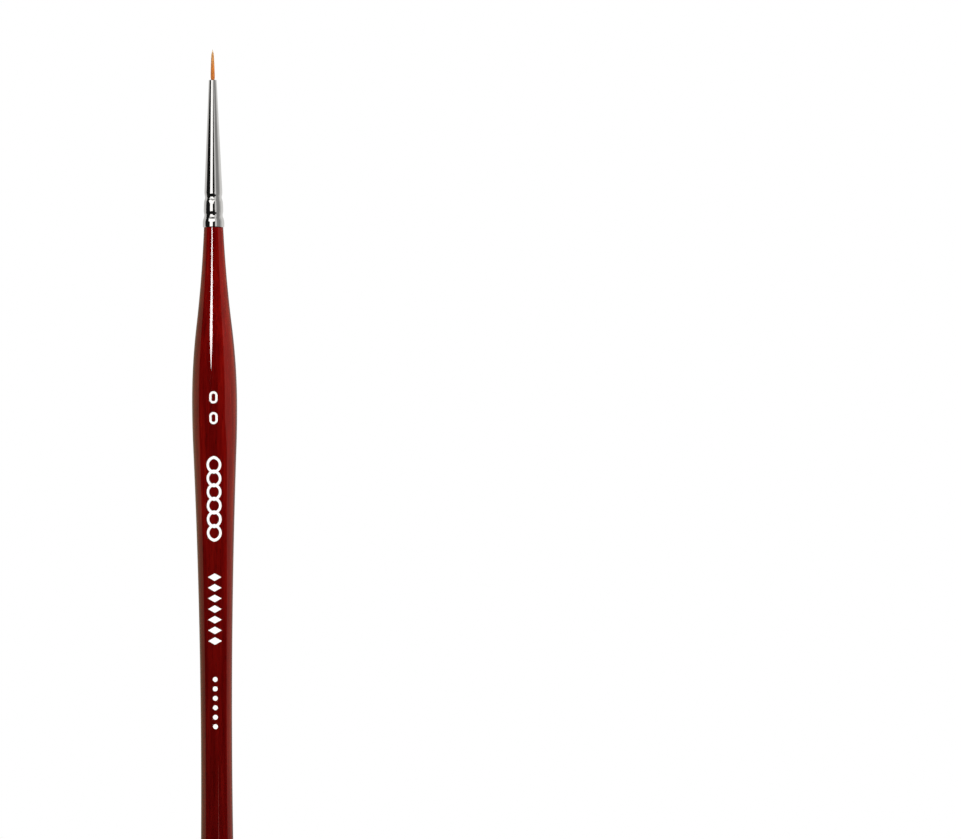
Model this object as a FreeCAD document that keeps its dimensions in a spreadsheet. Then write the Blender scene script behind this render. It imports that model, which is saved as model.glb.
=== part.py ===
"""A fine detail brush for model making, standing on its butt end with the tip of the tuft at the top.

Lengths are in mm and +Z runs along the brush to the tip. The front, which carries the printing, faces -Y.
Turned parts are made by turning an outline about the axis. Hollow ones are then bored with a second outline.
"""

import FreeCAD, Part
import math
import os

import Sketcher

DIMENSIONS = {
    # The three lengths that make up the brush.
    "handle_length": 134.7,
    "ferrule_length": 25.0,
    "tuft_length": 5.3,
    # Handle: radii of the outline and their depths below the ferrule. The throat is inside the ferrule,
    # above the shoulder. Each share says how much of a run between two radii bulges.
    "throat_radius": 1.4,
    "throat_rise": 10.2,
    "neck_share": 0.324,
    "belly_radius": 3.81,
    "belly_depth": 29.9,
    "taper_share": 0.129,
    "waist_radius": 2.64,
    "waist_depth": 88.4,
    "swell_share": 0.235,
    "barrel_top": 16.6,
    "butt_radius": 2.9,
    "butt_round": 1.9,
    "lacquer_thickness": 0.16,
    # Ferrule: a cone with two rolled crimps above a short round collar. Heights are from its foot.
    "wall_thickness": 0.33,
    "mouth_radius": 0.66,
    "mouth_round": 0.06,
    "cone_slope": 0.0452,
    "collar_radius": 1.82,
    "collar_height": 1.05,
    "collar_round": 0.15,
    "lower_crimp_height": 2.08,
    "upper_crimp_height": 5.08,
    "crimp_width": 1.6,
    "crimp_depth": 0.16,
    # Tenon and the glue round it.
    "tenon_length": 13.0,
    "tenon_chamfer": 0.3,
    "glue_thickness": 0.05,
    "clearance": 0.01,
    # Root of the bundle, inside the ferrule.
    "root_depth": 8.7,
    "resin_cover": 3.6,
    "resin_floor": 0.8,
    "thread_diameter": 0.09,
    "thread_pitch": 0.1,
    "thread_turns": 8,
    "thread_height": 0.4,
    # Filaments, packed in rings round a centre one. The tip power sets how blunt the point is.
    "filament_rings": 4,
    "filament_pitch": 0.061,
    "filament_radius": 0.027,
    "tip_power": 0.4,
    "centre_end": 0.04,
    "ring_step": 0.22,
    # Printing. Heights are of the top mark of each row.
    "ink_thickness": 0.02,
    "ink_reach": 4.5,
    "print_shift": 0.06,
    "numeral_width": 1.4,
    "numeral_height": 2.04,
    "numeral_stroke": 0.38,
    "numeral_round": 0.68,
    "upper_numeral_height": 105.9,
    "lower_numeral_height": 102.4,
    "cord_width": 2.5,
    "cord_length": 3.0,
    "cord_stroke": 0.42,
    "cord_pitch": 2.3,
    "cord_count": 6,
    "cord_top": 94.5,
    "lozenge_width": 2.3,
    "lozenge_length": 1.3,
    "lozenge_pitch": 1.8,
    "lozenge_count": 7,
    "lozenge_top": 75.5,
    "dot_radius": 0.42,
    "dot_pitch": 1.6,
    "dot_count": 6,
    "dot_top": 58.2,
}

doc = FreeCAD.newDocument("DetailBrush")
sheet = doc.addObject("Spreadsheet::Sheet", "Dimensions")
for row, (alias, number) in enumerate(DIMENSIONS.items(), start=1):
    sheet.set(f"A{row}", str(number))
    sheet.setAlias(f"A{row}", alias)
doc.recompute()


class Size:
    """A size as the number it has now and the expression that keeps it tied to the sheet."""

    def __init__(self, number, expression):
        self.number = number
        self.expression = expression

    def joined(self, sign, other, result):
        return Size(result, f"({self.expression} {sign} {other.expression})")

    def __add__(self, other):
        return self.joined("+", other, self.number + other.number)

    def __sub__(self, other):
        return self.joined("-", other, self.number - other.number)

    def __mul__(self, other):
        return self.joined("*", other, self.number * other.number)

    def __truediv__(self, other):
        return self.joined("/", other, self.number / other.number)

    def root(self):
        return Size(math.sqrt(self.number), f"sqrt({self.expression})")


def size(alias):
    """The size that the sheet holds under this alias."""
    return Size(float(sheet.get(alias)), f"Dimensions.{alias}")


def fixed(number):
    """A plain number, for halving and doubling sizes."""
    return Size(number, str(number))


ZERO = fixed(0)
ONE = fixed(1)
HALF = fixed(0.5)
CLEARANCE = size("clearance")
CLOSE = 1e-4  # places nearer than this are the same place
SIXTHS = [math.tau * step / 6 for step in range(6)]


# Sketching


def new_body(label, height=ZERO):
    """An empty body with its origin on the axis of the brush, at this height."""
    body = doc.addObject("PartDesign::Body", label)
    body.Label = label
    if height.number:
        body.setExpression("Placement.Base.z", height.expression)
    return body


def new_sketch(body, name):
    """A sketch standing upright through the axis, with X across and Z up."""
    sketch = body.newObject("Sketcher::SketchObject", name)
    plane = next(feature for feature in body.Origin.OriginFeatures if feature.Role == "XZ_Plane")
    sketch.AttachmentSupport = [(plane, "")]
    sketch.MapMode = "FlatFace"
    return sketch


def measure(sketch, kind, curve_and_ends, length):
    """Adds a dimension to the sketch and ties it to the sheet."""
    index = sketch.addConstraint(Sketcher.Constraint(kind, *curve_and_ends, length.number))
    sketch.setExpression(f"Constraints[{index}]", length.expression)


def hold(sketch, point, across, up):
    """Holds a point, given as (curve, end), at its distance from the axis and its height."""
    for kind, axis, length in (("DistanceX", -2, across), ("DistanceY", -1, up)):
        if length is ZERO:
            sketch.addConstraint(Sketcher.Constraint("PointOnObject", *point, axis))
        else:
            measure(sketch, kind, (-1, 1, *point), length)


def draw_arc(sketch, centre, radius, start_angle, end_angle):
    """Adds an arc that runs anticlockwise between two angles."""
    circle = Part.Circle(FreeCAD.Vector(*centre, 0), FreeCAD.Vector(0, 0, 1), radius)
    return sketch.addGeometry(Part.ArcOfCircle(circle, start_angle, end_angle))


def draw_line(sketch, start, end):
    """Adds a straight line between two points."""
    return sketch.addGeometry(Part.LineSegment(FreeCAD.Vector(*start, 0), FreeCAD.Vector(*end, 0)))


def draw_bend(sketch, start, end, bend):
    """Adds an arc between two points. A bulge keeps its centre on the left, a hollow on the right."""
    way, radius = bend
    left = 1 if way == "bulge" else -1
    across, up = end[0] - start[0], end[1] - start[1]
    chord = math.hypot(across, up)
    rise = math.sqrt(radius.number**2 - chord**2 / 4) / chord * left
    middle = ((start[0] + end[0]) / 2, (start[1] + end[1]) / 2)
    centre = (middle[0] - rise * up, middle[1] + rise * across)
    first, last = (start, end) if left == 1 else (end, start)
    angles = [math.atan2(point[1] - centre[1], point[0] - centre[0]) for point in (first, last)]
    curve = draw_arc(sketch, centre, radius.number, *angles)
    measure(sketch, "Radius", (curve,), radius)
    return (curve, 1, 2) if left == 1 else (curve, 2, 1)


def draw_circle(sketch, centre, radius):
    """Adds a full circle, with its centre and radius tied to the sheet."""
    middle = FreeCAD.Vector(centre[0].number, centre[1].number, 0)
    circle = sketch.addGeometry(Part.Circle(middle, FreeCAD.Vector(0, 0, 1), radius.number))
    hold(sketch, (circle, 3), *centre)
    measure(sketch, "Radius", (circle,), radius)


def draw_outline(sketch, corners):
    """Draws a closed outline anticlockwise.

    Each corner is (across, up) or (across, up, bend), with the bend of the side that leaves it.
    """
    sides = []
    for here, there in zip(corners, corners[1:] + corners[:1]):
        start = (here[0].number, here[1].number)
        end = (there[0].number, there[1].number)
        if len(here) == 3:
            sides.append(draw_bend(sketch, start, end, here[2]))
        else:
            sides.append((draw_line(sketch, start, end), 1, 2))
    for corner, side, following in zip(corners, sides, sides[1:] + sides[:1]):
        curve, start, end = side
        sketch.addConstraint(Sketcher.Constraint("Coincident", curve, end, following[0], following[1]))
        hold(sketch, (curve, start), corner[0], corner[1])


def turn(body, kind, name, draw):
    """Turns an outline about the axis, to add material (a Revolution) or to bore it away (a Groove)."""
    sketch = new_sketch(body, f"{name}Outline")
    draw(sketch)
    feature = body.newObject(f"PartDesign::{kind}", name)
    feature.Profile = sketch
    feature.ReferenceAxis = (sketch, ["V_Axis"])
    feature.Angle = 360
    doc.recompute()
    return feature


# Handle


def ogee(wide, narrow, share):
    """The smooth run of the side between a wide place and a narrow one, both upright, as two curves.

    The bulging curve at the wide place takes the stated share of it. Returns the radius of the bulging
    curve, the radius of the hollow one and the point where they meet.
    """
    across = wide[0] - narrow[0]
    up = wide[1] - narrow[1]
    both = (across * across + up * up) / (across + across)
    meeting = (wide[0] - across * share, wide[1] - up * share)
    return both * share, both - both * share, meeting


def draw_handle(sketch, coat):
    """Draws the turned outline of the handle, under a coat of this thickness."""
    top = size("handle_length")
    butt_round = size("butt_round")
    barrel_foot = (size("butt_radius") - coat, butt_round)
    barrel_top = (size("butt_radius") - coat, size("barrel_top"))
    waist = (size("waist_radius") - coat, top - size("waist_depth"))
    belly = (size("belly_radius") - coat, top - size("belly_depth"))
    throat = (size("throat_radius") - coat, top + size("throat_rise"))

    swell_bulge, swell_hollow, swell_middle = ogee(barrel_top, waist, size("swell_share"))
    taper_bulge, taper_hollow, taper_middle = ogee(belly, waist, size("taper_share"))
    neck_bulge, neck_hollow, neck_middle = ogee(belly, throat, size("neck_share"))
    # The throat lies inside the ferrule. The side is cut off square before it, at the shoulder.
    rise = size("throat_rise")
    neck_side = throat[0] + neck_hollow - (neck_hollow * neck_hollow - rise * rise).root()

    draw_outline(
        sketch,
        [
            (ZERO, coat),
            (size("butt_radius") - butt_round, coat, ("bulge", butt_round - coat)),
            barrel_foot,
            (*barrel_top, ("bulge", swell_bulge)),
            (*swell_middle, ("hollow", swell_hollow)),
            (*waist, ("hollow", taper_hollow)),
            (*taper_middle, ("bulge", taper_bulge)),
            (*belly, ("bulge", neck_bulge)),
            (*neck_middle, ("hollow", neck_hollow)),
            (neck_side, top),
            (ZERO, top),
        ],
    )


# Ferrule, and everything that takes its shape from the inside of it


def cone_radius(height, depth):
    """Radius of the ferrule's plain cone at a height above its foot, this deep below the surface."""
    return size("mouth_radius") + (size("ferrule_length") - height) * size("cone_slope") - depth


def draw_ferrule(sketch, depth, low, high, base=ZERO):
    """Draws the ferrule's outline this deep below its surface, between two heights above its foot.

    The foot is at the base.
    """
    half = size("crimp_width") * HALF
    dip = size("crimp_depth")
    crimp_curve = (half * half + dip * dip) / (dip + dip)
    collar = size("collar_radius") - depth
    corners = [(ZERO, base + low), (collar, base + low), (collar, base + size("collar_height"))]
    for crimp in (size("lower_crimp_height"), size("upper_crimp_height")):
        corners.append((cone_radius(crimp - half, depth), base + crimp - half, ("hollow", crimp_curve)))
        corners.append((cone_radius(crimp + half, depth), base + crimp + half))
    corners.append((cone_radius(high, depth), base + high))
    corners.append((ZERO, base + high))
    draw_outline(sketch, corners)


def edges_at(shape, height, radius):
    """Names of the round edges of a shape at this height and radius."""
    names = []
    for number, edge in enumerate(shape.Edges, start=1):
        level = all(abs(vertex.Z - height) < CLOSE for vertex in edge.Vertexes)
        if level and abs(math.hypot(edge.CenterOfMass.x, edge.CenterOfMass.y)) < CLOSE:
            if abs(edge.Length / math.tau - radius) < CLOSE:
                names.append(f"Edge{number}")
    return names


def dress(body, kind, alias, *places):
    """Rounds (a Fillet) or bevels (a Chamfer) the round edges at some (radius, height) places.

    The alias names how far in the sheet.
    """
    base = body.Tip
    edges = []
    for radius, height in places:
        edges.extend(edges_at(base.Shape, height.number, radius.number))
    if len(edges) != len(places):
        raise RuntimeError(f"{body.Label} has {len(edges)} round edges to dress instead of {len(places)}")
    feature = body.newObject(f"PartDesign::{kind}", f"{body.Name}{kind}")
    feature.Base = (base, edges)
    feature.setExpression("Radius" if kind == "Fillet" else "Size", size(alias).expression)
    doc.recompute()


def make_handle_core():
    """The turned wood, with the tenon that the ferrule is glued and crimped on to."""
    base = size("handle_length")
    depth = size("wall_thickness") + CLEARANCE + size("glue_thickness") + CLEARANCE
    end = size("tenon_length")
    body = new_body("handle_core")
    turn(body, "Revolution", "Handle", lambda sketch: draw_handle(sketch, size("lacquer_thickness")))
    turn(body, "Revolution", "Tenon", lambda sketch: draw_ferrule(sketch, depth, ZERO, end, base))
    dress(body, "Chamfer", "tenon_chamfer", (cone_radius(end, depth), base + end))
    return body


def make_handle_lacquer():
    """The lacquer, a coat of even thickness over the wood from the shoulder down and under the butt."""
    body = new_body("handle_lacquer")
    turn(body, "Revolution", "LacquerOutside", lambda sketch: draw_handle(sketch, ZERO))
    turn(body, "Groove", "LacquerInside", lambda sketch: draw_handle(sketch, size("lacquer_thickness")))
    return body


def make_ferrule():
    """The seamless metal tube, its foot just clear of the shoulder."""
    low, high, wall = CLEARANCE, size("ferrule_length"), size("wall_thickness")
    body = new_body("ferrule", size("handle_length"))
    turn(body, "Revolution", "FerruleOutside", lambda sketch: draw_ferrule(sketch, ZERO, low, high))
    turn(body, "Groove", "FerruleInside", lambda sketch: draw_ferrule(sketch, wall, low, high))
    dress(body, "Fillet", "collar_round", (size("collar_radius"), low))
    mouth = size("mouth_radius")
    dress(body, "Fillet", "mouth_round", (mouth, high), (mouth - wall, high))
    return body


def make_tenon_glue():
    """The film of glue that fills the gap between the tenon and the ferrule."""
    low, high = CLEARANCE + CLEARANCE, size("tenon_length") - size("tenon_chamfer")
    outside = size("wall_thickness") + CLEARANCE
    inside = outside + size("glue_thickness")
    body = new_body("tenon_glue", size("handle_length"))
    turn(body, "Revolution", "GlueOutside", lambda sketch: draw_ferrule(sketch, outside, low, high))
    turn(body, "Groove", "GlueInside", lambda sketch: draw_ferrule(sketch, inside, low, high))
    return body


# Root of the bundle


def bundle_radius():
    """Radius that just clears the corners of the outer ring of filaments."""
    return size("filament_rings") * size("filament_pitch") + size("filament_radius") + CLEARANCE


def root_height():
    """Height of the lower ends of the filaments."""
    return size("handle_length") + size("ferrule_length") - size("root_depth")


def make_root_resin():
    """The cup of hard resin that the bundle and its thread are set in."""
    depth = size("wall_thickness") + CLEARANCE
    root = size("ferrule_length") - size("root_depth")
    floor = root - size("resin_floor")
    top = root + size("resin_cover")
    spare_turn = size("thread_pitch")
    room = bundle_radius() + size("thread_diameter") + CLEARANCE
    room_foot = root + size("thread_height") - spare_turn
    room_top = room_foot + size("thread_pitch") * size("thread_turns") + spare_turn + spare_turn

    def draw(sketch):
        draw_outline(
            sketch,
            [
                (ZERO, floor),
                (cone_radius(floor, depth), floor),
                (cone_radius(top, depth), top),
                (bundle_radius(), top),
                (bundle_radius(), room_top),
                (room, room_top),
                (room, room_foot),
                (bundle_radius(), room_foot),
                (bundle_radius(), root - CLEARANCE),
                (ZERO, root - CLEARANCE),
            ],
        )

    body = new_body("root_resin", size("handle_length"))
    turn(body, "Revolution", "ResinCup", draw)
    return body


def make_binding_thread():
    """The thread, wound in an open spiral round the root of the bundle."""
    radius = size("thread_diameter") * HALF
    body = new_body("binding_thread", root_height() + size("thread_height"))
    sketch = new_sketch(body, "ThreadSection")
    draw_circle(sketch, (bundle_radius() + radius, ZERO), radius)
    doc.recompute()
    spiral = body.newObject("PartDesign::AdditiveHelix", "ThreadSpiral")
    spiral.Profile = sketch
    spiral.ReferenceAxis = (sketch, ["V_Axis"])
    spiral.Mode = "pitch-turns-angle"
    spiral.setExpression("Pitch", size("thread_pitch").expression)
    spiral.setExpression("Turns", size("thread_turns").expression)
    doc.recompute()
    return body


# Filaments


def ring_places(ring):
    """Where the filaments of a ring stand, in steps of the packing, along the six sides of a hexagon."""
    if ring == 0:
        return [FreeCAD.Vector()]
    corners = [FreeCAD.Vector(math.cos(bearing), math.sin(bearing), 0) * ring for bearing in SIXTHS]
    places = []
    for here, there in zip(corners, corners[1:] + corners[:1]):
        places.extend(here + (there - here) * (step / ring) for step in range(ring))
    return places


def make_filament(place, end):
    """One filament on this place of the packing, straight up to the mouth, then thinned to its end."""
    length = size("tuft_length").number
    pitch = size("filament_pitch").number
    radius = size("filament_radius").number
    root = size("root_depth").number
    # Each stop is a height above the mouth and how much of the full width is left there.
    stops = [(-root, 1.0), (0.0, 1.0)]
    for part in (0.75, 0.5, 0.3, 0.15, 0.05, 0.0):
        below_tip = end + (length - end) * part
        stops.append((length - below_tip, (below_tip / length) ** size("tip_power").number))
    rounds = []
    for height, width in stops:
        centre = place * pitch * width + FreeCAD.Vector(0, 0, height)
        rounds.append(Part.Wire(Part.makeCircle(radius * width, centre)))
    closed, straight_runs = True, True
    return Part.makeLoft(rounds, closed, straight_runs)


def make_filament_ring(ring):
    """All the filaments of one ring. The further out the ring, the shorter it is."""
    end = size("centre_end").number + size("ring_step").number * ring
    name = f"filament_ring_{ring}" if ring else "filament_centre"
    feature = doc.addObject("Part::Feature", name)
    feature.Label = name
    feature.Shape = Part.makeCompound([make_filament(place, end) for place in ring_places(ring)])
    feature.setExpression("Placement.Base.z", (size("handle_length") + size("ferrule_length")).expression)
    return feature


# Printing


def make_ink():
    """A film of ink over the whole handle. Each printed mark is the part of it under its own stamp."""
    body = new_body("ink")
    raised = ZERO - size("ink_thickness")
    turn(body, "Revolution", "InkOutside", lambda sketch: draw_handle(sketch, raised))
    turn(body, "Groove", "InkInside", lambda sketch: draw_handle(sketch, ZERO))
    return body


def rounded_box(width, height, corner):
    """Corners of a box round the origin with each corner rounded off."""
    across, up = width * HALF, height * HALF
    shift = ZERO - size("print_shift")
    left, right = shift - across, shift + across
    bulge = ("bulge", corner)
    return [
        (left + corner, ZERO - up),
        (right - corner, ZERO - up, bulge),
        (right, corner - up),
        (right, up - corner, bulge),
        (right - corner, up),
        (left + corner, up, bulge),
        (left, up - corner),
        (left, corner - up, bulge),
    ]


def lens(width, length):
    """Corners of a pointed oval round the origin, longer up than across."""
    across, up = width * HALF, length * HALF
    curve = (across * across + up * up) / (across + across)
    shift = ZERO - size("print_shift")
    return [(shift, ZERO - up, ("bulge", curve)), (shift, up, ("bulge", curve))]


def draw_numeral(sketch):
    """A round-cornered size numeral."""
    width, height, corner = size("numeral_width"), size("numeral_height"), size("numeral_round")
    stroke = size("numeral_stroke")
    draw_outline(sketch, rounded_box(width, height, corner))
    draw_outline(sketch, rounded_box(width - stroke - stroke, height - stroke - stroke, corner - stroke))


def draw_cord_link(sketch):
    """One link of a twisted cord, a pointed oval with an open middle."""
    width, length, stroke = size("cord_width"), size("cord_length"), size("cord_stroke")
    draw_outline(sketch, lens(width, length))
    inner = width - stroke - stroke
    draw_outline(sketch, lens(inner, length * inner / width))


def draw_lozenge(sketch):
    """One solid lozenge."""
    across, up = size("lozenge_width") * HALF, size("lozenge_length") * HALF
    shift = ZERO - size("print_shift")
    corners = [(shift, ZERO - up), (shift + across, ZERO), (shift, up), (shift - across, ZERO)]
    draw_outline(sketch, corners)


def draw_dot(sketch):
    """One solid dot."""
    draw_circle(sketch, (ZERO - size("print_shift"), ZERO), size("dot_radius"))


def make_print(label, draw, height, pitch=None, count=None):
    """A mark, or a row of equal marks going down, printed on the front of the handle in a film of ink."""
    stamp = new_body(f"{label}_stamp", height)
    sketch = new_sketch(stamp, f"{label}_outline")
    draw(sketch)
    pad = stamp.newObject("PartDesign::Pad", f"{label}_pad")
    pad.Profile = sketch
    pad.setExpression("Length", size("ink_reach").expression)
    if count:
        row = stamp.newObject("PartDesign::LinearPattern", f"{label}_row")
        row.Originals = [pad]
        row.Direction = (sketch, ["V_Axis"])
        row.Reversed = True
        row.setExpression("Length", (pitch * (count - ONE)).expression)
        row.setExpression("Occurrences", count.expression)
        stamp.Tip = row
    mark = doc.addObject("Part::MultiCommon", label)
    mark.Label = label
    mark.Shapes = [stamp, ink]
    doc.recompute()
    return mark


def make_row(label, mark, draw):
    """A printed row of one mark, with its top, pitch and count from the sheet."""
    top, pitch, count = [size(f"{mark}_{what}") for what in ("top", "pitch", "count")]
    return make_print(label, draw, top, pitch, count)


# The pieces, in order from the butt up


ink = make_ink()
nodes = [
    make_handle_core(),
    make_handle_lacquer(),
    make_ferrule(),
    make_tenon_glue(),
    make_root_resin(),
    make_binding_thread(),
    *[make_filament_ring(ring) for ring in range(DIMENSIONS["filament_rings"] + 1)],
    make_print("print_numeral_upper", draw_numeral, size("upper_numeral_height")),
    make_print("print_numeral_lower", draw_numeral, size("lower_numeral_height")),
    make_row("print_cord", "cord", draw_cord_link),
    make_row("print_lozenges", "lozenge", draw_lozenge),
    make_row("print_dots", "dot", draw_dot),
]
doc.recompute()

for item in doc.Objects:
    if "Invalid" in item.State or "Error" in item.State:
        raise RuntimeError(f"{item.Name} did not build: {item.State}")
for node in nodes:
    if node.Shape.isNull() or not node.Shape.isValid() or not node.Shape.Solids:
        raise RuntimeError(f"{node.Label} has no sound shape")

os.makedirs("parts", exist_ok=True)
for node in nodes:
    node.Shape.exportStep(f"parts/{node.Label}.step")
    print(node.Label, len(node.Shape.Solids), "solids", round(node.Shape.Volume, 4), "mm3")
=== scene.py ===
"""Looks of the fine detail brush: a lacquered handle, a plated ferrule, white printing and a filament tuft.

Everything is in metres in the CAD frame, with the butt on the floor, the tip up and the printing facing -Y.
"""

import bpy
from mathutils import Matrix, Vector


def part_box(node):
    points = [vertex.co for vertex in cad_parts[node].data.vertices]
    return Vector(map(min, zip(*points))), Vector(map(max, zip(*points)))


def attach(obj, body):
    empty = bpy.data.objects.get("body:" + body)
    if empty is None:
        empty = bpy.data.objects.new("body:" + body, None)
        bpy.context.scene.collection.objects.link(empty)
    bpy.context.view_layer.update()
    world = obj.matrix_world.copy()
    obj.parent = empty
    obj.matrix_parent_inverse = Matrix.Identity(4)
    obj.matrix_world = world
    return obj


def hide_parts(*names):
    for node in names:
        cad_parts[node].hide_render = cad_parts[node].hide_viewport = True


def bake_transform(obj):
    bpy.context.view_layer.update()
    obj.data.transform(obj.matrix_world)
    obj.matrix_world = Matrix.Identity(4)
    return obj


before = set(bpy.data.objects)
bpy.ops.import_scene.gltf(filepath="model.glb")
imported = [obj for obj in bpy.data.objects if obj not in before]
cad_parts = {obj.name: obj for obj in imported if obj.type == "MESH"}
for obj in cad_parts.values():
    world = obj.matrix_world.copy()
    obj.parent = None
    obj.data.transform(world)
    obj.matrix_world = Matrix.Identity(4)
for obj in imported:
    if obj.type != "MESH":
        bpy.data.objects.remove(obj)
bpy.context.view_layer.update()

import math
import random

import bpy
import numpy as np
from mathutils import Matrix, Vector, noise

MM = 0.001
SAME = 1e-3 * MM  # places nearer than this are the same place
WHITE = (1, 1, 1)
SCENE = bpy.context.scene

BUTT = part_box("handle_lacquer")[0].z
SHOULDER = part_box("handle_lacquer")[1].z
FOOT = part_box("ferrule")[0].z
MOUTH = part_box("ferrule")[1].z
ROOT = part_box("filament_centre")[0].z
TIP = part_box("filament_centre")[1].z
TUFT_LENGTH = TIP - MOUTH
OUTER_RING = 4
FILAMENT_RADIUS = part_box("filament_centre")[1].x
FILAMENT_PITCH = (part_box(f"filament_ring_{OUTER_RING}")[1].x - FILAMENT_RADIUS) / OUTER_RING

# The camera stands in front of the printing, a little to the right, so that the brush is left of centre.
CAMERA_PLACE = Vector((0.04505, -1.2, 0.1019))
CAMERA_BEARING = math.atan2(CAMERA_PLACE.x, -CAMERA_PLACE.y)


# Reading the turned outlines of the CAD nodes


def side_places(node, facing):
    """Places on the faces of a turned CAD node that face away from the axis (1) or towards it (-1)."""
    clearly, decimals = 0.01, 7
    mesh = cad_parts[node].data
    points = np.empty(len(mesh.vertices) * 3)
    mesh.vertices.foreach_get("co", points)
    chosen = set()
    for face in mesh.polygons:
        out = Vector((face.center.x, face.center.y, 0))
        if out.length > SAME and face.normal.dot(out.normalized()) * facing > clearly:
            chosen.update(face.vertices)
    return np.round(points.reshape(-1, 3)[sorted(chosen)], decimals)


def nearest(around, height):
    """The (radius, height) place nearest to a height."""
    return around[np.argmin(abs(around[:, 1] - height))]


def side_of(node, facing, spacing):
    """One side of a turned CAD node as evenly spaced (radius, height) places from the bottom up.

    Each CAD face along it is a straight line or a round curve. It is drawn again through its ends and a
    place between them. CAD faces share no vertices, so a ring where two meet has every vertex twice.
    """
    seam_only, decimals = 4, 6
    places = side_places(node, facing)
    around = np.column_stack((np.hypot(places[:, 0], places[:, 1]), places[:, 2]))
    kinds, counts = np.unique(places, axis=0, return_counts=True)
    heights, sizes = np.unique(np.round(kinds[counts > 1][:, 2], decimals), return_counts=True)
    rings = [around[:, 1].min(), *heights[sizes > seam_only], around[:, 1].max()]
    side = [nearest(around, rings[0])]
    for low, high in zip(rings, rings[1:]):
        if high - low < 2 * SAME:
            continue
        start, end = nearest(around, low), nearest(around, high)
        between = around[(around[:, 1] > low + SAME) & (around[:, 1] < high - SAME)]
        middle = nearest(between, (low + high) / 2) if len(between) else (start + end) / 2
        side.extend(curve_through(start, middle, end, spacing))
    return np.array(side)


def curve_through(start, middle, end, spacing):
    """Evenly spaced places after the start on the round curve, or straight line, through three places."""
    straight = 1e-5
    first, whole = middle - start, end - start
    steps = max(2, math.ceil(np.linalg.norm(whole) / spacing))
    shares = np.linspace(0, 1, steps + 1)[1:]
    turn = first[0] * whole[1] - first[1] * whole[0]
    if abs(turn) < straight * (whole @ whole):
        return [start + whole * share for share in shares]
    short, long = first @ first, whole @ whole
    across = (whole[1] * short - first[1] * long) / (2 * turn)
    up = (first[0] * long - whole[0] * short) / (2 * turn)
    centre = start + np.array((across, up))
    radius = math.hypot(across, up)
    begin = math.atan2(start[1] - centre[1], start[0] - centre[0])
    finish = math.atan2(end[1] - centre[1], end[0] - centre[0])
    sweep = (finish - begin + math.pi) % math.tau - math.pi
    angles = begin + sweep * shares
    return list(centre + radius * np.column_stack((np.cos(angles), np.sin(angles))))


# Mesh building


def new_object(name, points, faces, material):
    """A smooth mesh object from points and faces, in place in the frame."""
    mesh = bpy.data.meshes.new(name)
    mesh.from_pydata([tuple(point) for point in points], [], faces)
    mesh.polygons.foreach_set("use_smooth", [True] * len(mesh.polygons))
    mesh.materials.append(material)
    mesh.update()
    made = bpy.data.objects.new(name, mesh)
    SCENE.collection.objects.link(made)
    return made


def turned(name, outline, steps, material):
    """A closed turned shape from an outline of (radius, height) places, given anticlockwise.

    An outline that starts and ends on the axis is closed there.
    """
    points, faces, rows = [], [], []
    for radius, height in outline:
        if radius < SAME:
            rows.append([len(points)] * steps)
            points.append((0, 0, height))
            continue
        rows.append(list(range(len(points), len(points) + steps)))
        for angle in np.linspace(0, math.tau, steps, endpoint=False):
            points.append((radius * math.cos(angle), radius * math.sin(angle), height))
    if outline[0][0] > SAME:
        rows.append(rows[0])
    for low, high in zip(rows, rows[1:]):
        for step in range(steps):
            after = (step + 1) % steps
            corners = list(dict.fromkeys((low[step], low[after], high[after], high[step])))
            if len(corners) > 2:
                faces.append(corners)
    return new_object(name, points, faces, material)


# Materials


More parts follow.
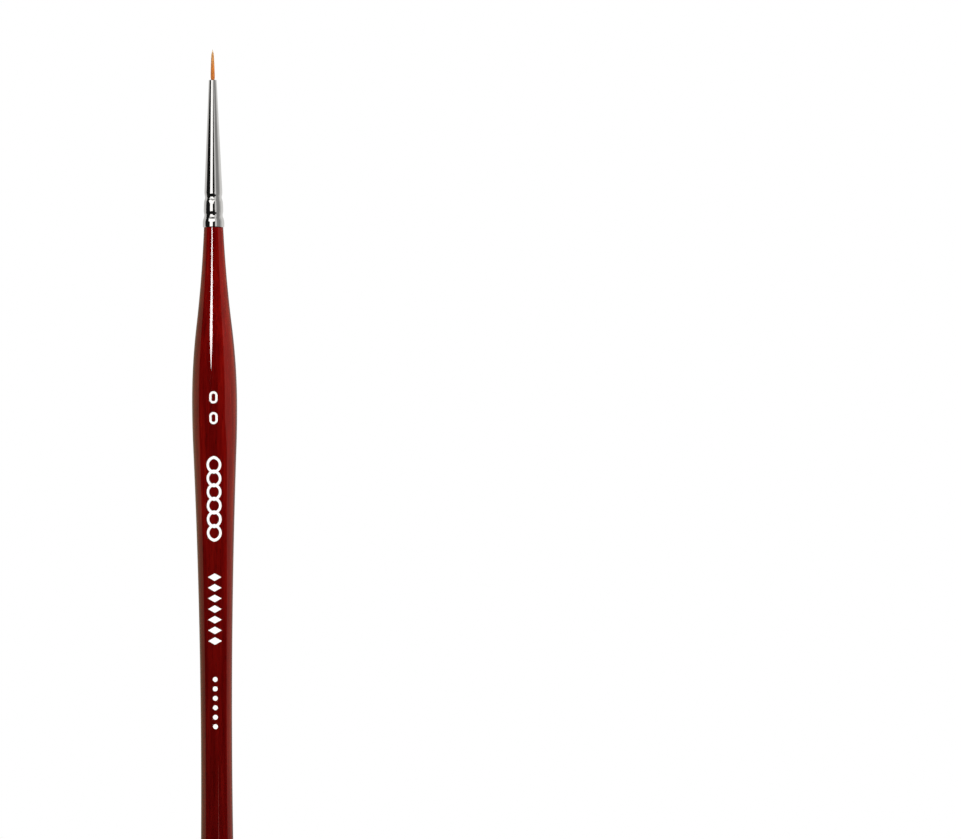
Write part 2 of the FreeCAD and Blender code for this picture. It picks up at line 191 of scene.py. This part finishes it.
class Shader:
    """A material being built: nodes are added by type and wired by name."""

    def __init__(self, name):
        self.material = bpy.data.materials.new(name)
        self.material.use_nodes = True
        self.nodes = self.material.node_tree.nodes
        self.links = self.material.node_tree.links
        self.surface = next(node for node in self.nodes if node.type == "BSDF_PRINCIPLED")
        self.coordinates = self.add("ShaderNodeTexCoord").outputs["Object"]

    def add(self, kind, settings=None, **inputs):
        """Adds a node. Input names use _ for a space."""
        node = self.nodes.new(kind)
        for key, value in (settings or {}).items():
            setattr(node, key, value)
        for key, value in inputs.items():
            self.feed(node.inputs[key.replace("_", " ")], value)
        return node

    def feed(self, socket, value):
        """Sets one input to a number or colour, or wires another node's output to it."""
        if isinstance(value, bpy.types.NodeSocket):
            self.links.new(value, socket)
        elif isinstance(value, tuple) and len(socket.default_value) > len(value):
            socket.default_value = (*value, 1)
        else:
            socket.default_value = value

    def look(self, **inputs):
        """Sets inputs of the surface."""
        for key, value in inputs.items():
            self.feed(self.surface.inputs[key.replace("_", " ")], value)

    def grain(self, across, along, detail=4.0, seed=0.0):
        """Noise stretched along the brush, from the sizes of its features across and along it."""
        shift, stretch = (seed, seed, seed), (1 / across, 1 / across, 1 / along)
        place = self.add("ShaderNodeMapping", Vector=self.coordinates, Location=shift, Scale=stretch)
        place = place.outputs[0]
        texture = self.add("ShaderNodeTexNoise", Vector=place, Scale=1.0, Detail=detail, Roughness=0.6)
        return texture.outputs["Fac"]

    def ramp(self, value, *stops):
        """A colour ramp of (place, colour) stops over a value."""
        node = self.add("ShaderNodeValToRGB", Fac=value)
        elements = node.color_ramp.elements
        while len(elements) < len(stops):
            elements.new(0.5)
        for element, (place, colour) in zip(elements, stops):
            element.position = place
            element.color = (*colour, 1)
        return node.outputs["Color"]

    def level(self, value, low, high, new_low=0.0, new_high=1.0):
        """A value moved from one range to another and held within it."""
        node = self.add("ShaderNodeMapRange", Value=value)
        ends = {"From Min": low, "From Max": high, "To Min": new_low, "To Max": new_high}
        for name, number in ends.items():
            node.inputs[name].default_value = number
        return node.outputs["Result"]

    def mix(self, kind, amount, first, second):
        """Two colours combined in one of Blender's ways."""
        node = self.add("ShaderNodeMix", {"data_type": "RGBA", "blend_type": kind})
        factor, colour_a, colour_b, colour_result = 0, 6, 7, 2
        for index, value in ((factor, amount), (colour_a, first), (colour_b, second)):
            self.feed(node.inputs[index], value)
        return node.outputs[colour_result]

    def height(self):
        """Height above the floor."""
        return self.add("ShaderNodeSeparateXYZ", Vector=self.coordinates).outputs["Z"]

    def turned_away(self):
        """How far the surface turns away from the eye, 0 to 1."""
        return self.add("ShaderNodeLayerWeight", Blend=0.5).outputs["Facing"]

    def bump(self, value, depth):
        """Turns a value into fine relief of this depth."""
        return self.add("ShaderNodeBump", Height=value, Strength=1.0, Distance=depth).outputs["Normal"]


def lacquer_material():
    """Deep cherry-red lacquer over fine-grained wood, brighter at the neck, with a painted orange sheen
    where it is seen edge on.
    """
    shader = Shader("red_lacquer")
    up = shader.level(shader.height(), BUTT, SHOULDER)
    red = shader.ramp(
        up,
        (0.0, (0.062, 0.0008, 0.0007)),
        (0.25, (0.070, 0.0008, 0.0007)),
        (0.78, (0.115, 0.0010, 0.0008)),
        (1.0, (0.160, 0.0012, 0.0010)),
    )
    orange = shader.ramp(up, (0.0, (0.070, 0.011, 0.004)), (1.0, (0.150, 0.012, 0.005)))
    # painted sheen: the base colour turns orange towards the edges that are seen edge on
    painted_edge_sheen = shader.level(shader.turned_away(), 0.25, 0.9)
    colour = shader.mix("MIX", painted_edge_sheen, red, orange)
    streaks = shader.grain(0.5 * MM, 12 * MM, detail=5.0)
    streak_tone = shader.ramp(streaks, (0.32, (0.70, 0.60, 0.60)), (0.5, WHITE), (0.70, (1.35, 2.4, 1.8)))
    pores = shader.grain(0.15 * MM, 1.5 * MM, detail=2.0, seed=7.0)
    pore_tone = shader.ramp(pores, (0.30, (0.60, 0.60, 0.60)), (0.42, WHITE))
    clouds = shader.grain(2.2 * MM, 26 * MM, detail=2.0, seed=3.0)
    cloud_tone = shader.ramp(clouds, (0.35, (0.82, 0.80, 0.80)), (0.65, (1.16, 1.6, 1.3)))
    for tone in (streak_tone, pore_tone, cloud_tone):
        colour = shader.mix("MULTIPLY", 1.0, colour, tone)
    ripple = shader.bump(shader.grain(1.6 * MM, 4 * MM, detail=1.0, seed=11.0), 0.003 * MM)
    shader.look(Base_Color=colour, Roughness=0.5, Specular_IOR_Level=0.0)
    shader.look(Coat_Weight=1.0, Coat_Roughness=0.03, Coat_IOR=1.5, Coat_Normal=ripple)
    return shader.material


def nickel_material():
    """Bright nickel plate with fine drawing lines and slight dulling."""
    shader = Shader("nickel_plate")
    clouds = shader.grain(0.7 * MM, 2.0 * MM, seed=5.0)
    colour = shader.ramp(clouds, (0.3, (0.68, 0.665, 0.64)), (0.7, (0.76, 0.745, 0.72)))
    lines = shader.bump(shader.grain(0.05 * MM, 4 * MM), 0.00005 * MM)
    roughness = shader.level(clouds, 0.3, 0.7, 0.03, 0.05)
    shader.look(Base_Color=colour, Metallic=1.0, Roughness=roughness, Normal=lines)
    return shader.material


def filament_material():
    """Golden-brown synthetic filament, paler and more golden towards the tip."""
    shader = Shader("synthetic_filament")
    up = shader.level(shader.height(), MOUTH, TIP)
    gold = shader.ramp(
        up,
        (0.0, (0.46, 0.145, 0.032)),
        (0.4, (0.54, 0.190, 0.042)),
        (0.85, (0.58, 0.320, 0.120)),
        (1.0, (0.56, 0.460, 0.290)),
    )
    strands = shader.grain(0.02 * MM, 2.0 * MM, detail=3.0)
    tone = shader.ramp(strands, (0.3, (0.88, 0.84, 0.80)), (0.6, (1.04, 1.05, 1.06)))
    colour = shader.mix("MULTIPLY", 1.0, gold, tone)
    shader.look(Base_Color=colour, Roughness=0.6, Specular_IOR_Level=0.04)
    return shader.material


def ink_material():
    """White screen-printing ink, slightly uneven."""
    shader = Shader("white_ink")
    uneven = shader.grain(0.12 * MM, 0.12 * MM, detail=3.0)
    colour = shader.ramp(uneven, (0.3, (0.86, 0.86, 0.85)), (0.6, (0.95, 0.95, 0.94)))
    relief = shader.bump(uneven, 0.001 * MM)
    shader.look(Base_Color=colour, Roughness=0.5, Specular_IOR_Level=0.1, Normal=relief)
    return shader.material


def wood_material():
    """Sanded, red-stained hardwood, under the lacquer and on the tenon."""
    shader = Shader("stained_wood")
    rings = shader.grain(0.45 * MM, 12 * MM, detail=6.0)
    tone = shader.ramp(rings, (0.3, (0.20, 0.055, 0.025)), (0.7, (0.42, 0.16, 0.075)))
    pores = shader.grain(0.12 * MM, 1.5 * MM, detail=2.0, seed=4.0)
    holes = shader.ramp(pores, (0.32, (0.5, 0.45, 0.42)), (0.45, WHITE))
    colour = shader.mix("MULTIPLY", 1.0, tone, holes)
    shader.look(Base_Color=colour, Roughness=0.62, Normal=shader.bump(pores, 0.01 * MM))
    return shader.material


def resin_material(name, pale, deep):
    """Cured glue or resin: clear enough to glow, with a few cloudy patches."""
    shader = Shader(name)
    clouds = shader.grain(0.5 * MM, 0.5 * MM)
    shader.look(Base_Color=shader.ramp(clouds, (0.3, deep), (0.7, pale)), Roughness=0.18)
    shader.look(Transmission_Weight=0.35, IOR=1.55, Normal=shader.bump(clouds, 0.01 * MM))
    return shader.material


def thread_material():
    """Waxed off-white thread with twisted strands."""
    shader = Shader("binding_thread")
    waves_per_metre = 9000.0
    slanted = {"bands_direction": "DIAGONAL"}
    twist = shader.add("ShaderNodeTexWave", slanted, Vector=shader.coordinates, Scale=waves_per_metre)
    strands = twist.outputs["Fac"]
    shader.look(Base_Color=shader.ramp(strands, (0.0, (0.55, 0.51, 0.42)), (0.6, (0.82, 0.79, 0.70))))
    shader.look(Roughness=0.7, Normal=shader.bump(strands, 0.004 * MM))
    return shader.material


def paint(node, material):
    """Gives a CAD node its material."""
    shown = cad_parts[node]
    shown.data.materials.clear()
    shown.data.materials.append(material)


# Handle and ferrule


def crisp_ends(side):
    """A side with one more place close to each end, so that smooth shading turns sharply there."""
    nearness = 0.03
    after_start = side[0] + (side[1] - side[0]) * nearness
    before_end = side[-1] + (side[-2] - side[-1]) * nearness
    return np.array((side[0], after_start, *side[1:-1], before_end, side[-1]))


def build_handle():
    """The coat of lacquer as one smooth skin, on the same curves as the CAD outline."""
    spacing, steps = 0.7 * MM, 180
    outside = crisp_ends(side_of("handle_lacquer", 1, spacing))
    inside = crisp_ends(side_of("handle_lacquer", -1, spacing))[::-1]
    outline = [(0, outside[0][1]), *outside, *inside, (0, inside[-1][1])]
    skin = turned("lacquer_skin", outline, steps, lacquer_material())
    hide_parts("handle_lacquer")
    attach(skin, "handle")


def softened(side, reach, low, high):
    """A side with its corners between two heights rounded, by averaging the radius over this reach."""
    radii, heights = side[:, 0], side[:, 1]
    smooth = side.copy()
    for index in np.flatnonzero((heights > low) & (heights < high)):
        weights = np.exp(-(((heights - heights[index]) / reach) ** 2))
        smooth[index, 0] = (weights * radii).sum() / weights.sum()
    return smooth


def crimp_waists(side):
    """Heights of the waists of the crimps, where the side dips furthest below a straight taper."""
    collar = 1.2 * MM
    taper = side[side[:, 1] > FOOT + collar]
    straight = np.interp(taper[:, 1], taper[[0, -1], 1], taper[[0, -1], 0])
    dip = straight - taper[:, 0]
    inner = dip[1:-1]
    deepest = (inner > dip[:-2]) & (inner >= dip[2:]) & (inner > dip.max() / 2)
    return taper[1:-1, 1][deepest]


def tightened(side, waists):
    """A side with its crimps drawn in to narrow grooves, so that it bulges like a barrel between them."""
    reach, tightness = 0.95 * MM, 3
    radii, heights = side[:, 0], side[:, 1]
    tight = side.copy()
    for waist in waists:
        groove = np.flatnonzero(abs(heights - waist) < reach)
        ends = groove[[0, -1]]
        chord = np.interp(heights[groove], heights[ends], radii[ends])
        dip = chord - radii[groove]
        tight[groove, 0] = chord - dip.max() * np.exp(tightness * (dip / dip.max() - 1))
    return tight


def build_ferrule():
    """The plated tube, with rounded edges on its crimps and the marks of the crimping rollers on them."""
    steps, fine, coarse, softness = 160, 0.04 * MM, 0.25 * MM, 0.16 * MM
    side = side_of("ferrule", 1, fine)
    waists = crimp_waists(side)
    outside = softened(tightened(side, waists), softness, low=FOOT + 0.5 * MM, high=MOUTH - 1 * MM)
    crimped = outside[:, 1] < FOOT + 7 * MM
    near_mouth = outside[:, 1] > MOUTH - 0.3 * MM
    every_tenth = np.arange(len(outside)) % 10 == 0
    outside = outside[crimped | near_mouth | every_tenth]
    inside = side_of("ferrule", -1, coarse)[::-1]
    tube = turned("ferrule_tube", [*outside, *inside], steps, nickel_material())

    dent_size, dent_depth, roller_reach = 0.36 * MM, 0.020 * MM, 0.75 * MM
    for vertex in tube.data.vertices[: len(outside) * steps]:
        closeness = sum(math.exp(-(((vertex.co.z - waist) / roller_reach) ** 2)) for waist in waists)
        shift = dent_depth * closeness * noise.noise(vertex.co / dent_size)
        out = Vector((vertex.co.x, vertex.co.y, 0)).normalized()
        vertex.co += out * shift

    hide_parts("ferrule")
    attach(tube, "handle")


# Tuft


def ring_places(ring):
    """Where the filaments of a ring stand, along the six sides of a hexagon."""
    if ring == 0:
        return [np.zeros(2)]
    sixths = [math.tau * step / 6 for step in range(6)]
    corners = [ring * FILAMENT_PITCH * np.array((math.cos(angle), math.sin(angle))) for angle in sixths]
    places = []
    for here, there in zip(corners, corners[1:] + corners[:1]):
        places.extend(here + (there - here) * step / ring for step in range(ring))
    return places


def add_strand(points, faces, place, end, thickness, sway):
    """Adds one tapered strand: straight to the mouth, then swelling a little and drawn in to its end."""
    sides, fullness, bluntness, taper = 6, 0.36, 0.33, 0.22
    swollen, widening, least = 0.08, 1.15, 0.004
    heights = [*np.linspace(ROOT, MOUTH, 4)[:-1], *np.linspace(MOUTH, end, 18)]
    first = len(points)
    for height in heights:
        up = max(0, (height - MOUTH) / TUFT_LENGTH)
        swell = 1 + fullness * min(1, up / swollen)
        centre = place * swell * (1 - up) ** bluntness + sway * math.sin(math.pi * up)
        to_end = (end - height) / TUFT_LENGTH + least
        width = thickness * min(1, widening * to_end**taper)
        for angle in np.linspace(0, math.tau, sides, endpoint=False):
            across, deep = centre + width * np.array((math.cos(angle), math.sin(angle)))
            points.append((across, deep, height))
    for row in range(first, first + (len(heights) - 1) * sides, sides):
        for side in range(sides):
            after = (side + 1) % sides
            faces.append((row + side, row + after, row + sides + after, row + sides + side))
    last = len(points) - sides
    faces.append(tuple(first + side for side in reversed(range(sides))))
    faces.append(tuple(last + side for side in range(sides)))


def shade_as_bundle(piece):
    """Shades the strands like one soft bundle, as light soaking in between them does.

    Each strand's shading leans towards that of the whole bundle, and the strands don't darken each other.
    """
    lean, core = 0.8, 0.12 * MM
    leaning = []
    for vertex in piece.data.vertices:
        out = Vector((vertex.co.x, vertex.co.y, 0))
        leaning.append((out / max(core, out.length) * lean + vertex.normal * (1 - lean)).normalized())
    piece.data.normals_split_custom_set_from_vertices(leaning)
    piece.visible_shadow = False


def build_tuft():
    """The tuft, ring by ring, as fine tapered strands that bend from the mouth of the ferrule."""
    material = filament_material()
    draw = random.Random(7)
    strands_per_filament = 3
    for ring in range(OUTER_RING + 1):
        node = f"filament_ring_{ring}" if ring else "filament_centre"
        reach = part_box(node)[1].z
        points, faces = [], []
        for place in ring_places(ring):
            for _ in range(strands_per_filament):
                bearing = draw.uniform(0, math.tau)
                nudge = 0.5 * FILAMENT_RADIUS * np.array((math.cos(bearing), math.sin(bearing)))
                sway = 0.012 * MM * np.array((draw.gauss(0, 1), draw.gauss(0, 1)))
                end = min(TIP, reach + draw.uniform(-0.06, 0.12) * MM)
                thickness = draw.uniform(0.85, 1.05) * FILAMENT_RADIUS
                add_strand(points, faces, place + nudge, end, thickness, sway)
        piece = new_object(f"tuft_ring_{ring}" if ring else "tuft_centre", points, faces, material)
        shade_as_bundle(piece)
        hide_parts(node)
        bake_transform(piece)


# Studio


def glow(name, strength, colour, on_plate, behind):
    """A glowing material for a studio card that only some reflections see.

    It is seen by the plate or by what lies below it, and by the half of the brush that faces the camera or
    by the half behind. Where each ray set out is worked out from its direction and length. Other rays pass
    through.
    """
    material = bpy.data.materials.new(name)
    material.use_nodes = True
    nodes, links = material.node_tree.nodes, material.node_tree.links
    nodes.clear()
    geometry = nodes.new("ShaderNodeNewGeometry")
    path = nodes.new("ShaderNodeLightPath")
    origin = nodes.new("ShaderNodeVectorMath")
    origin.operation = "MULTIPLY_ADD"
    links.new(geometry.outputs["Incoming"], origin.inputs[0])
    links.new(path.outputs["Ray Length"], origin.inputs[1])
    links.new(geometry.outputs["Position"], origin.inputs[2])
    parts = nodes.new("ShaderNodeSeparateXYZ")
    links.new(origin.outputs["Vector"], parts.inputs["Vector"])
    chosen = nodes.new("ShaderNodeMath")
    chosen.operation = "MULTIPLY"
    for place, (side, limit, beyond) in enumerate((("Z", FOOT, on_plate), ("Y", 0, behind))):
        test = nodes.new("ShaderNodeMath")
        test.operation = "GREATER_THAN" if beyond else "LESS_THAN"
        test.inputs[1].default_value = limit
        links.new(parts.outputs[side], test.inputs[0])
        links.new(test.outputs[0], chosen.inputs[place])
    clear = nodes.new("ShaderNodeBsdfTransparent")
    light = nodes.new("ShaderNodeEmission")
    light.inputs["Strength"].default_value = strength
    light.inputs["Color"].default_value = (*colour, 1)
    either = nodes.new("ShaderNodeMixShader")
    for place, result in enumerate((chosen, clear, light)):
        links.new(result.outputs[0], either.inputs[place])
    output = nodes.new("ShaderNodeOutputMaterial")
    links.new(either.outputs[0], output.inputs["Surface"])
    return material


def card(name, on_plate, rows, strength, colour=WHITE, behind=False):
    """A curved glowing card round the brush, for sharp reflections only.

    Rows are (height, left, right) from the bottom up. Left and right are degrees round from the camera,
    positive to the right, or round from straight behind for a card that lights the back.
    """
    plate_distance, lacquer_distance, further_behind = 0.30, 0.31, 0.02
    distance = (plate_distance if on_plate else lacquer_distance) + behind * further_behind
    middle = CAMERA_BEARING + behind * math.pi
    steps = 60
    points, faces = [], []
    for height, left, right in rows:
        for share in np.linspace(0, 1, steps + 1):
            bearing = middle + math.radians(left + (right - left) * share)
            points.append((distance * math.sin(bearing), -distance * math.cos(bearing), height))
    width = steps + 1
    for row in range(0, (len(rows) - 1) * width, width):
        for corner in range(row, row + steps):
            faces.append((corner, corner + 1, corner + 1 + width, corner + width))
    made = new_object(name, points, faces, glow(name, strength, colour, on_plate, behind))
    made.visible_camera = False
    made.visible_diffuse = False
    made.visible_shadow = False


def soft_light(name, place, size, power, colour=WHITE):
    """A square soft light aimed at the middle of the brush that gives no sharp reflection."""
    data = bpy.data.lights.new(name, "AREA")
    data.size = size
    data.energy = power
    data.color = colour
    made = bpy.data.objects.new(name, data)
    made.location = place
    made.rotation_mode = "QUATERNION"
    made.rotation_quaternion = (Vector((0, 0, TIP / 2)) - Vector(place)).to_track_quat("-Z", "Y")
    made.visible_glossy = False
    made.visible_camera = False
    SCENE.collection.objects.link(made)


def build_lights():
    """The cards that the lacquer and the plate reflect, and the soft lights that fill in."""
    on_lacquer, on_plate = False, True
    bottom, top = -0.10, 0.60
    warm, rosy, pale = (1.0, 0.86, 0.57), (1.0, 0.32, 0.27), (1.0, 0.85, 0.78)

    def tall(left, right):
        """A card of the full height."""
        return (bottom, left, right), (top, left, right)

    # On the lacquer: a streak that narrows to a point above the numerals, a faint low one, and sheens.
    key = (0.145, -18.2, -17.2), (0.190, -27.3, -11), (0.30, -28, -11)
    right_sheen = (bottom, 82, 132), (0.055, 82, 132), (0.095, 54, 132), (top, 54, 132)
    low_line = (bottom, 8, 17), (0.0, 9.5, 14.5), (0.03, 11.7, 12.3)
    card("lacquer_key", on_lacquer, key, 24.0)
    card("lacquer_right", on_lacquer, right_sheen, 1.1, rosy)
    card("lacquer_line", on_lacquer, low_line, 4.0, rosy)
    card("back_lacquer_key", on_lacquer, tall(-26, -17), 14.0, behind=True)
    card("back_lacquer_right", on_lacquer, tall(54, 132), 1.1, rosy, behind=True)

    # On the plate: a white streak that flares in the crimps, and greys of different depths.
    funnel = (0.09, -41, -10), (0.18, -41, -10), (0.21, -51, 5), (0.25, -58, 14), (0.324, -59, 18)
    brow = (0.324, -59, 18), (0.42, -59, 18)
    thin_grey = (0.06, 16, 35), (0.45, 16, 35)
    card("plate_white", on_plate, funnel, 1.5)
    card("plate_brow", on_plate, brow, 0.45)
    card("plate_thin_grey", on_plate, thin_grey, 0.70)
    card("back_plate_white", on_plate, tall(-41, -10), 1.5, behind=True)
    card("back_plate_thin_grey", on_plate, tall(16, 35), 0.70, behind=True)

    # Seen alike from the front and from behind.
    for side, behind in ("", False), ("back_", True):
        card(side + "lacquer_far_right", on_lacquer, tall(132, 166), 0.40, pale, behind)
        card(side + "lacquer_left", on_lacquer, tall(-166, -88), 0.42, warm, behind)
        card(side + "plate_dark_grey", on_plate, tall(35, 79), 0.27, WHITE, behind)
        card(side + "plate_grey", on_plate, tall(79, 97), 0.50, WHITE, behind)
        card(side + "plate_right", on_plate, tall(97, 179), 0.80, WHITE, behind)
        card(side + "plate_left", on_plate, tall(-179, -100), 0.66, WHITE, behind)

    soft_light("front_fill", (-0.15, -0.60, 0.25), 0.35, 3.8)
    soft_light("right_fill", (0.52, 0.02, 0.20), 0.30, 2.9, (1.0, 0.93, 0.85))
    soft_light("back_fill", (-0.20, 0.60, 0.35), 0.40, 3.8)
    soft_light("top_light", (0.0, 0.0, 0.70), 0.40, 0.8)


def build_world():
    """Plain white behind everything for the camera, and almost dark for reflections."""
    world = bpy.data.worlds.new("studio")
    SCENE.world = world
    world.use_nodes = True
    nodes, links = world.node_tree.nodes, world.node_tree.links
    almost_dark = 0.01
    path = nodes.new("ShaderNodeLightPath")
    shade = nodes.new("ShaderNodeMapRange")
    shade.inputs["To Min"].default_value = almost_dark
    links.new(path.outputs["Is Camera Ray"], shade.inputs["Value"])
    links.new(shade.outputs["Result"], nodes["Background"].inputs["Color"])


def build_floor():
    """A plain pale round floor under the brush that fades out towards its rim."""
    steps, reach, solid, gap = 96, 0.42, 0.16, 0.02 * MM
    angles = np.linspace(0, math.tau, steps, endpoint=False)
    points = [(reach * math.cos(angle), reach * math.sin(angle), 0) for angle in angles]
    shader = Shader("pale_floor")
    measure = shader.add("ShaderNodeVectorMath", {"operation": "LENGTH"}, Vector=shader.coordinates)
    shader.look(Alpha=shader.level(measure.outputs["Value"], solid, reach, 1.0, 0.0))
    speckle = shader.grain(3 * MM, 3 * MM)
    shader.look(Base_Color=shader.ramp(speckle, (0.3, (0.81, 0.81, 0.80)), (0.7, (0.83, 0.83, 0.82))))
    shader.look(Roughness=0.7, Specular_IOR_Level=0.2)
    floor = new_object("floor", points, [tuple(range(steps))], shader.material)
    floor.location.z = BUTT - gap
    floor.visible_glossy = False


def build_camera():
    """The camera at the photo's angle: level, square on to the printing, with the brush left of centre."""
    picture_width, lean = 0.16288, math.radians(-0.327)
    data = bpy.data.cameras.new("camera")
    data.sensor_width = 36
    data.lens = data.sensor_width * -CAMERA_PLACE.y / picture_width
    camera = bpy.data.objects.new("camera", data)
    upright = Matrix.Rotation(math.pi / 2, 4, "X") @ Matrix.Rotation(lean, 4, "Z")
    camera.matrix_world = Matrix.Translation(CAMERA_PLACE) @ upright
    SCENE.collection.objects.link(camera)
    SCENE.camera = camera
    SCENE.view_settings.view_transform = "Standard"
    SCENE.cycles.use_denoising = True


build_handle()
build_ferrule()
build_tuft()
paint("handle_core", wood_material())
paint("tenon_glue", resin_material("tenon_glue", (0.85, 0.72, 0.42), (0.70, 0.55, 0.28)))
paint("root_resin", resin_material("root_resin", (0.80, 0.62, 0.30), (0.62, 0.42, 0.16)))
paint("binding_thread", thread_material())
ink = ink_material()
for row in ("numeral_upper", "numeral_lower", "cord", "lozenges", "dots"):
    paint(f"print_{row}", ink)
build_lights()
build_world()
build_floor()
build_camera()
